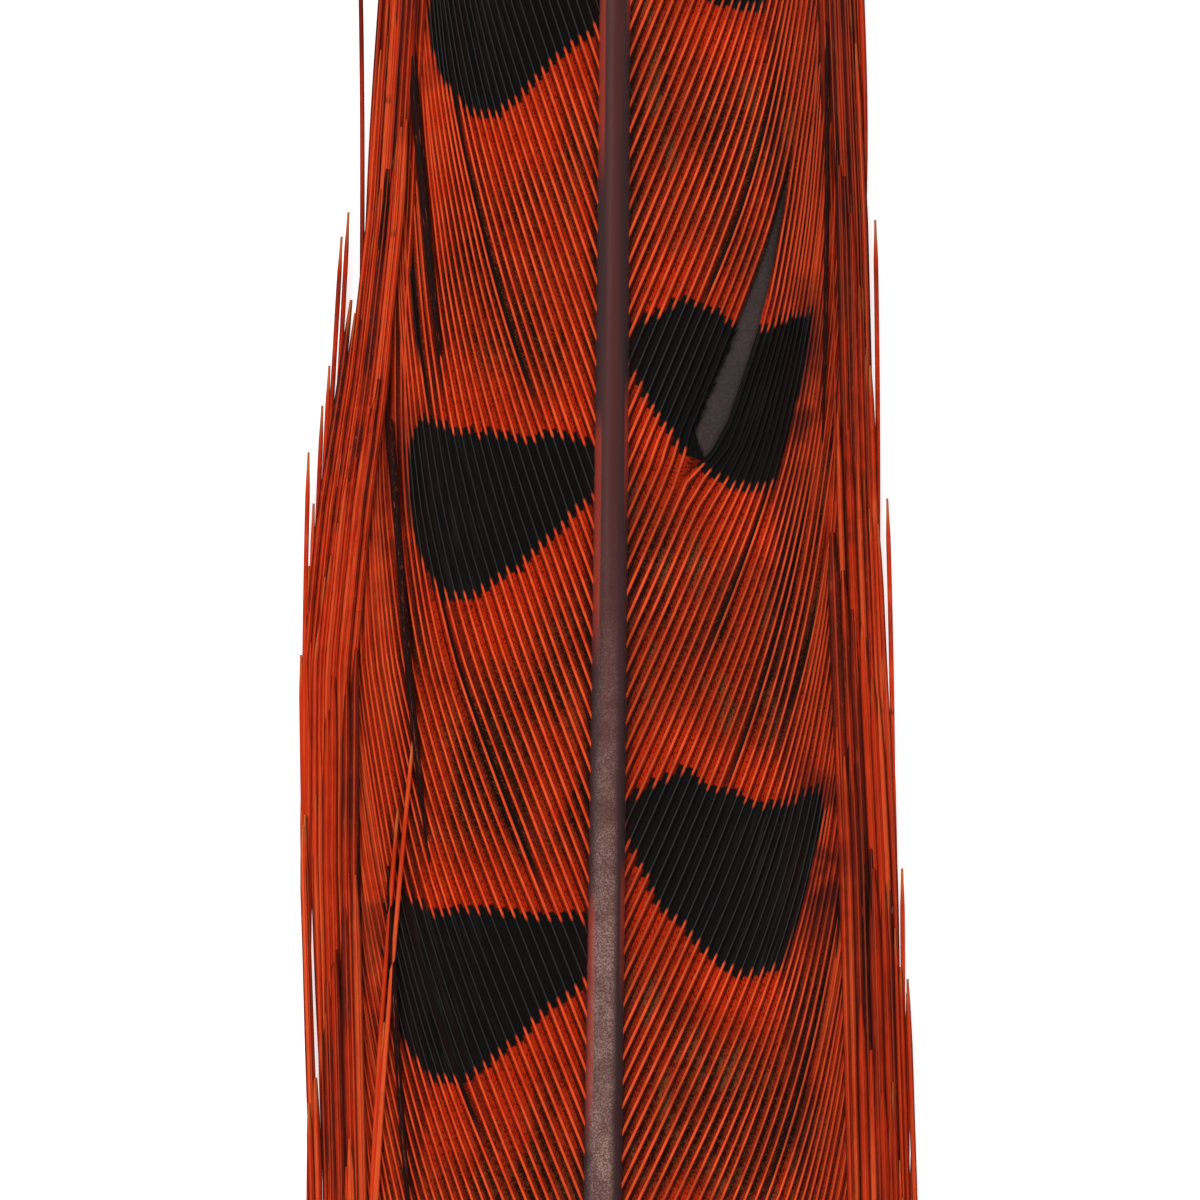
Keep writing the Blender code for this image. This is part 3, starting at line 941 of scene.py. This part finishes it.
class AddShaft(bpy.types.Operator):
    """Tapering shaft from the hollow quill to the tip"""

    bl_idname = "feather.add_shaft"
    bl_label = "Add Shaft"

    def execute(self, context):
        sizes = context.scene.feather_shaft
        rings = self.rings(sizes)
        deselect_all()
        self.draw_out(rings, sizes)
        self.open_quill(rings, sizes)
        bpy.ops.object.mode_set(mode="OBJECT")
        bpy.ops.object.transform_apply(location=True, rotation=True, scale=True)
        bpy.ops.object.shade_smooth_by_angle(angle=math.radians(50))
        piece = context.object
        piece.name = piece.data.name = "shaft_keratin"
        self.mark(piece.data)
        piece.data.materials.append(shaft_material(sizes, context.scene.feather_vanes.bar_spacing))
        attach(piece, "root")
        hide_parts("shaft")
        return {"FINISHED"}

    @staticmethod
    def rings(sizes):
        """The y and width of each section: a blunt quill point, then an even taper."""
        rings = []
        for along, share in QUILL_POINT_SHAPE:
            rings.append((QUILL_END + along * QUILL_POINT, share * SHAFT_BASE_WIDTH))
        steps = math.ceil((SHAFT_TIP - QUILL_END - QUILL_POINT) / (sizes.ring_spacing / MM))
        for y in np.linspace(QUILL_END + QUILL_POINT, SHAFT_TIP, steps + 1):
            rings.append((float(y), float(shaft_width(y))))
        return rings

    @staticmethod
    def draw_out(rings, sizes):
        """Extrudes the quill's end from ring to ring, and flattens the underside on the table."""
        y, width = rings[0]
        bpy.ops.mesh.primitive_circle_add(
            vertices=sizes.sides,
            radius=width / 2 * MM,
            fill_type="NGON",
            location=(shaft_middle(y) * MM, y * MM, SHAFT_LIFT * width * MM),
            rotation=(math.radians(90), 0, 0),
        )
        bpy.ops.object.mode_set(mode="EDIT")
        bpy.ops.mesh.select_all(action="SELECT")
        bpy.ops.transform.resize(value=(1, 1, SHAFT_HEIGHT_SHARE))
        for (y, width), (next_y, next_width) in zip(rings, rings[1:]):
            sideways = shaft_middle(next_y) - shaft_middle(y)
            rise = SHAFT_LIFT * (next_width - width)
            bpy.ops.mesh.extrude_region_move(
                TRANSFORM_OT_translate={"value": (sideways * MM, (next_y - y) * MM, rise * MM)}
            )
            grow = next_width / width
            bpy.ops.transform.resize(value=(grow, 1, grow))
        builder = bmesh.from_edit_mesh(bpy.context.object.data)
        place = bpy.context.object.matrix_world
        for vertex in builder.verts:
            vertex.select = (place @ vertex.co).z < 0
        builder.select_flush_mode()
        bmesh.update_edit_mesh(bpy.context.object.data)
        bpy.ops.transform.resize(value=(1, 1, 0), center_override=(0, 0, 0))

    @staticmethod
    def open_quill(rings, sizes):
        """Sinks a small hole into the quill's end."""
        bpy.ops.mesh.select_mode(type="FACE")
        builder = bmesh.from_edit_mesh(bpy.context.object.data)
        place = bpy.context.object.matrix_world
        for face in builder.faces:
            face.select = all((place @ v.co).y < (QUILL_END + 0.1) * MM for v in face.verts)
        bmesh.update_edit_mesh(bpy.context.object.data)
        bpy.ops.mesh.inset(thickness=rings[0][1] * 0.25 * MM)
        bpy.ops.mesh.extrude_region_move(TRANSFORM_OT_translate={"value": (0, sizes.hole_depth, 0)})
        bpy.ops.mesh.select_all(action="SELECT")
        bpy.ops.mesh.normals_make_consistent(inside=False)

    @staticmethod
    def mark(mesh):
        """Notes how far each point lies from the middle, and lays the map round the shaft."""
        count = len(mesh.vertices)
        points = np.empty(count * 3)
        mesh.vertices.foreach_get("co", points)
        x, y, z = (points.reshape(-1, 3) / MM).T
        sideways = x - shaft_middle(y)
        across = np.clip(sideways / (shaft_width(y) / 2), -1, 1)
        attribute = mesh.attributes.new("across", "FLOAT", "POINT")
        attribute.data.foreach_set("value", across.astype(np.float32))
        turn = np.arctan2(z - SHAFT_LIFT * shaft_width(y), sideways)
        layer = mesh.uv_layers.new(name="OFBake")
        for polygon in mesh.polygons:
            first = turn[polygon.vertices[0]]
            end_face = abs(polygon.normal.y) > 0.7
            for loop, vertex in zip(polygon.loop_indices, polygon.vertices):
                angle = turn[vertex]
                angle += 2 * math.pi * round((first - angle) / (2 * math.pi))
                run = (y[vertex] - QUILL_END) / (SHAFT_TIP - QUILL_END)
                if end_face:
                    layer.data[loop].uv = (0.985 + 0.004 * sideways[vertex], 0.02 + 0.01 * z[vertex])
                else:
                    layer.data[loop].uv = (0.97 * run, 0.04 + 0.92 * (angle / (2 * math.pi) + 0.55) / 1.1)


class AddVanes(bpy.types.Operator):
    """Every barb of both vanes: its stem, and the web of barbules along it"""

    bl_idname = "feather.add_vanes"
    bl_label = "Add Vanes"

    def execute(self, context):
        sizes = context.scene.feather_vanes
        for side, word in SIDES:
            lines = barb_lines(side, sizes)
            web = strands_mesh(f"{word}_web", lines, *web_section(lines), smooth=False)
            add_piece(context, web, web_material(side, sizes), [f"{word}_vane"])
            radius = sizes.ramus_width / MM / 2
            fringe = ease(lines["reach"], 0.7, 0.95)
            radii = radius * (1 - 0.25 * ease(lines["reach"], 0.1, 0.6)) * (1 - 0.2 * fringe)
            radii = radii * (0.35 + 0.65 * ease(lines["to_tip"], 0.0, 3.0))
            across, up = round_section(radii, 0.05)
            rami = strands_mesh(f"{word}_rami", lines, across, up, smooth=True)
            add_piece(context, rami, ramus_material(side, sizes))
        return {"FINISHED"}


class AddSplitShadeSheet(bpy.types.Operator):
    """Dark sheet under the split in the right vane, painted to stand in for the shadow seen through it"""

    bl_idname = "feather.add_split_lining"
    bl_label = "Add Split Shade Sheet"

    def execute(self, context):
        sizes = context.scene.feather_vanes
        lines = barb_lines(RIGHT, sizes)
        lower, upper = split_neighbours(lines["y"][:, 0])
        y = np.linspace(SHADE_SHEET_START, SPLIT_TOP, 40)
        right_edge = np.interp(y, lines["y"][lower], lines["x"][lower])
        left_edge = np.interp(y, lines["y"][upper], lines["x"][upper])
        middle = (right_edge + left_edge) / 2
        ends = ease(y, SHADE_SHEET_START, SHADE_SHEET_START + 0.6) * (1 - ease(y, SPLIT_TOP - 1.5, SPLIT_TOP))
        half = ((right_edge - left_edge) / 2 + 0.2) * ends + 0.02
        height = np.interp(y, lines["y"][lower], lines["z"][lower]) - SHADE_SHEET_DEPTH
        strand = {
            "side": RIGHT,
            "x": middle[None],
            "y": y[None],
            "z": height[None],
            "along": (y - y[0])[None],
            "to_tip": (y[-1] - y)[None],
        }
        # Its section is an arch over a flat bottom.
        angles, bottom = np.linspace(0, math.pi, 9), np.linspace(-0.8, 0.8, 5)
        across = np.concatenate([np.cos(angles), bottom]) * half[None, :, None]
        arch = np.concatenate([0.12 * np.sin(angles), np.full(len(bottom), -0.03)])
        up = np.broadcast_to(arch, across.shape)
        mesh = strands_mesh("split_shade_sheet", strand, across, up, smooth=True)
        add_piece(context, mesh, split_shade_material())
        self.add_fuzz(context, lines, lower, upper)
        return {"FINISHED"}

    @staticmethod
    def add_fuzz(context, lines, lower, upper):
        """Short black barbules that stick out into the split, along its lower end and its left side."""
        random = np.random.default_rng(SEED + 30)
        count, stations, corner = FUZZ_HAIRS, 4, 0.25
        share = np.sort(random.uniform(0, 1, count))
        low, turn, high = SPLIT_LOW_END[RIGHT], SPLIT_LOW_END[LEFT], SPLIT_LOW_END[LEFT] + 5.0
        start_y = np.interp(share, (0, corner, 1), (low, turn, high))
        upper_x = np.interp(np.maximum(start_y, turn), lines["y"][upper], lines["x"][upper])
        lower_x = np.interp(low, lines["y"][lower], lines["x"][lower])
        start_x = lower_x + (upper_x + 0.1 - lower_x) * np.minimum(share / corner, 1)
        run = random.uniform(0.2, 0.55, count)[:, None] * np.linspace(0, 1, stations)
        heading = np.radians(random.normal(30, 14, count))[:, None] + 0.8 * run
        level = np.interp(start_y, lines["y"][upper], lines["z"][upper])[:, None] - 0.05
        hairs = {
            "side": RIGHT,
            "x": start_x[:, None] + run * np.cos(heading),
            "y": start_y[:, None] + run * np.sin(heading),
            "z": level + 0.05 * np.sin(9 * run + share[:, None] * 40),
            "along": run,
            "to_tip": run[:, -1:] - run,
        }
        across, up = round_section(FUZZ_RADIUS * (0.3 + 0.7 * ease(hairs["to_tip"], 0, 0.2)), 0.0, 3)
        mesh = strands_mesh("split_fuzz", hairs, across, up, smooth=True)
        add_piece(context, mesh, fuzz_material())


class AddLooseStrands(bpy.types.Operator):
    """Single barbs that stand off the outline or lie across their neighbours, and dark strips of painted
    shade along the vane's edge
    """

    bl_idname = "feather.add_loose_strands"
    bl_label = "Add Loose Strands"

    def execute(self, context):
        stations = 40
        share = np.linspace(0, 1, stations)
        for side, word in SIDES:
            rows = np.array(LOOSE_STRANDS[side], float)
            low_y, low_out, tip_y, tip_out, bulge, tone, half = rows.T[:, :, None]
            y = low_y + (tip_y - low_y) * share
            out = low_out + (tip_out - low_out) * share + bulge * np.sin(math.pi * share)
            crossing = low_out < 12
            height = vane_height(side, out, y) + np.where(crossing, 0.22, 0.1)
            height = height - 0.35 * (1 - ease(share, 0.0, 0.25))
            shape = np.ones_like(y)
            lines = {
                "side": side,
                "x": shaft_middle(y) + side * out,
                "y": y,
                "z": height,
                "along": y - low_y,
                "to_tip": tip_y - y,
                # Strands with a tone below 0 are dark strips of painted shade, so they get no pale tips.
                "reach": np.where(tone < 0, 0.5, 1.0) * shape,
                "tone": tone * shape,
            }
            tip, low_end = ease(lines["to_tip"], 0.0, 2.0), ease(lines["along"], 0.0, 9.0)
            taper = (0.5 + 0.5 * tip) * (0.1 + 0.9 * low_end)
            across, up = round_section(half * taper, 0.0, 6)
            up = up * 0.12 / np.maximum(half[..., None], 0.12)
            mesh = strands_mesh(f"{word}_loose_strands", lines, across, up, smooth=True)
            add_piece(context, mesh, loose_material())
        return {"FINISHED"}


class AddDown(bpy.types.Operator):
    """Curling downy barbs with their long soft barbules, between the vanes and the bare quill"""

    bl_idname = "feather.add_down"
    bl_label = "Add Down"

    def execute(self, context):
        sizes = context.scene.feather_down
        material = down_material(sizes)
        for side, word in SIDES:
            stems = self.stems(side, sizes)
            across, up = round_section(DOWN_BARB_RADIUS * (0.4 + 0.6 * ease(stems["to_tip"], 0, 4)), 0.0, 4)
            mesh = strands_mesh(f"{word}_down_barbs", stems, across, up, smooth=True)
            add_piece(context, mesh, material, [f"{word}_down"])
            barbules = self.barbules(side, stems, sizes)
            radii = BARBULE_RADIUS * (0.25 + 0.75 * ease(barbules["to_tip"], 0, 1.5))
            across, up = round_section(radii, 0.0, 3)
            mesh = strands_mesh(f"{word}_down_barbules", barbules, across, up, smooth=True)
            add_piece(context, mesh, material)
        return {"FINISHED"}

    @staticmethod
    def stems(side, sizes):
        random = np.random.default_rng(SEED + 5 + side)
        roots = np.arange(DOWN_START, DOWN_END, sizes.pitch / MM)
        count, stations = len(roots), 28
        share = np.linspace(0, 1, stations)[None]
        full = np.interp(roots, (DOWN_START, -155, DOWN_END), (9, 16, 21))[:, None]
        full = full * random.uniform(0.8, 1.05, (count, 1))
        along = full * share
        angle = np.interp(roots, (DOWN_START, DOWN_END), (62, 40))[:, None] - 26 * share
        wave = random.uniform(0, 2 * math.pi, (count, 1))
        angle = np.radians(angle + 13 * np.sin(wave + along * 0.9) * share)
        step = full / (stations - 1)
        out = 0.3 * shaft_width(roots)[:, None] + np.cumsum(np.sin(angle), axis=1) * step
        y = roots[:, None] + np.cumsum(np.cos(angle), axis=1) * step
        root_height = ROOT_HEIGHT_SHARE * shaft_width(roots)[:, None]
        arch = random.uniform(0.1, 1.1, (count, 1)) * np.sin(math.pi * share**0.8)
        height = root_height * (1 - share) + 0.2 + arch + 0.12 * np.sin(wave * 3 + along * 1.3) * share
        shape = np.ones_like(y)
        return {
            "side": side,
            "x": shaft_middle(y) + side * out,
            "y": y,
            "z": np.maximum(height, 0.12),
            "along": along,
            "to_tip": full - along,
            "reach": share * shape,
        }

    @staticmethod
    def barbules(side, stems, sizes):
        random = np.random.default_rng(SEED + 9 + side)
        count, stations = stems["y"].shape
        stem = np.repeat(np.arange(count), BARBULES_EACH)
        share = np.tile(np.linspace(0.1, 0.99, BARBULES_EACH), count)
        place = share * (stations - 1)
        first = place.astype(int)
        start = {key: between(stems[key], stem, place) for key in ("x", "y", "z")}
        heading_x = stems["x"][stem, first + 1] - stems["x"][stem, first]
        heading_y = stems["y"][stem, first + 1] - stems["y"][stem, first]
        heading = np.arctan2(heading_y, heading_x)
        hand = np.where(np.arange(len(stem)) % 2 == 0, 1.0, -1.0)
        total = len(stem)
        length_here = sizes.barbule_length / MM * random.uniform(0.6, 1.1, total) * (1.15 - 0.6 * share)
        turn = heading + hand * np.radians(random.normal(52, 12, total))
        steps = np.linspace(0, 1, 5)[None]
        curl = np.radians(random.normal(0, 28, total))[:, None] * steps
        run = length_here[:, None] * steps
        x = start["x"][:, None] + run * np.cos(turn[:, None] + curl)
        y = start["y"][:, None] + run * np.sin(turn[:, None] + curl)
        lift = random.normal(0.0, 0.22, total)[:, None] * run
        z = np.maximum(start["z"][:, None] + lift, 0.08)
        return {
            "side": RIGHT,
            "x": x,
            "y": y,
            "z": z,
            "along": run,
            "to_tip": length_here[:, None] - run,
            "reach": (0.35 + 0.5 * share)[:, None] + 0.3 * steps,
        }


class AddStage(bpy.types.Operator):
    """Pale table, soft lights and the camera straight above the feather"""

    bl_idname = "feather.add_stage"
    bl_label = "Add Stage"

    def execute(self, context):
        sizes = context.scene.feather_stage
        deselect_all()
        bpy.ops.mesh.primitive_plane_add(size=sizes.table_size, location=(0, 0, 0))
        table = context.object
        table.name = table.data.name = "table"
        table.data.materials.append(table_material())
        self.add_light("key_light", (-0.5, 0.45, 1.0), 0.7, sizes.light_power)
        self.add_light("fill_light", (0.6, -0.5, 1.1), 1.1, sizes.light_power * 0.4)
        world = bpy.data.worlds.new("pale_room")
        context.scene.world = world
        world.use_nodes = True
        background = world.node_tree.nodes["Background"]
        background.inputs["Color"].default_value = (1.0, 1.0, 1.0, 1.0)
        background.inputs["Strength"].default_value = 0.38
        self.add_camera(context, sizes)
        context.scene.view_settings.view_transform = "Standard"
        return {"FINISHED"}

    @staticmethod
    def add_light(name, place, size, power):
        bpy.ops.object.light_add(type="AREA", location=place)
        light = bpy.context.object
        light.name = name
        light.data.size = size
        light.data.energy = power
        aim = -light.location
        light.rotation_euler = aim.to_track_quat("-Z", "Y").to_euler()

    @staticmethod
    def add_camera(context, sizes):
        bpy.ops.object.camera_add(
            location=(sizes.camera_x, 0, sizes.camera_height), rotation=(0, 0, sizes.camera_turn)
        )
        camera = context.object
        camera.name = "camera_above"
        camera.data.lens = sizes.lens
        camera.data.sensor_width = 36.0
        camera.data.clip_start = 0.01
        camera.data.clip_end = 20.0
        context.scene.camera = camera


class FeatherPanel(bpy.types.Panel):
    """Lists the feather's pieces and the sizes and colours of each"""

    bl_idname = "FEATHER_PT_pieces"
    bl_label = "Pheasant Feather"
    bl_space_type = "VIEW_3D"
    bl_region_type = "UI"
    bl_category = "Feather"

    def draw(self, context):
        for group, operators in GROUPS.items():
            box = self.layout.box()
            settings = getattr(context.scene, group)
            for key in settings.bl_rna.properties.keys():
                if key not in ("name", "rna_type"):
                    box.prop(settings, key)
            for operator in operators:
                box.operator(operator.bl_idname)


SETTINGS = {
    "feather_shaft": ShaftSettings,
    "feather_vanes": VaneSettings,
    "feather_down": DownSettings,
    "feather_stage": StageSettings,
}
GROUPS = {
    "feather_shaft": (AddShaft,),
    "feather_vanes": (AddVanes, AddSplitShadeSheet, AddLooseStrands),
    "feather_down": (AddDown,),
    "feather_stage": (AddStage,),
}
OPERATORS = tuple(operator for operators in GROUPS.values() for operator in operators)


def register():
    for kind in (*SETTINGS.values(), *OPERATORS, FeatherPanel):
        bpy.utils.register_class(kind)
    for name, kind in SETTINGS.items():
        setattr(bpy.types.Scene, name, PointerProperty(type=kind))


def unregister():
    for name in SETTINGS:
        delattr(bpy.types.Scene, name)
    for kind in reversed((*SETTINGS.values(), *OPERATORS, FeatherPanel)):
        bpy.utils.unregister_class(kind)


def main():
    register()
    bpy.ops.feather.add_shaft()
    bpy.ops.feather.add_vanes()
    bpy.ops.feather.add_split_lining()
    bpy.ops.feather.add_loose_strands()
    bpy.ops.feather.add_down()
    bpy.ops.feather.add_stage()


if __name__ == "__main__":
    main()
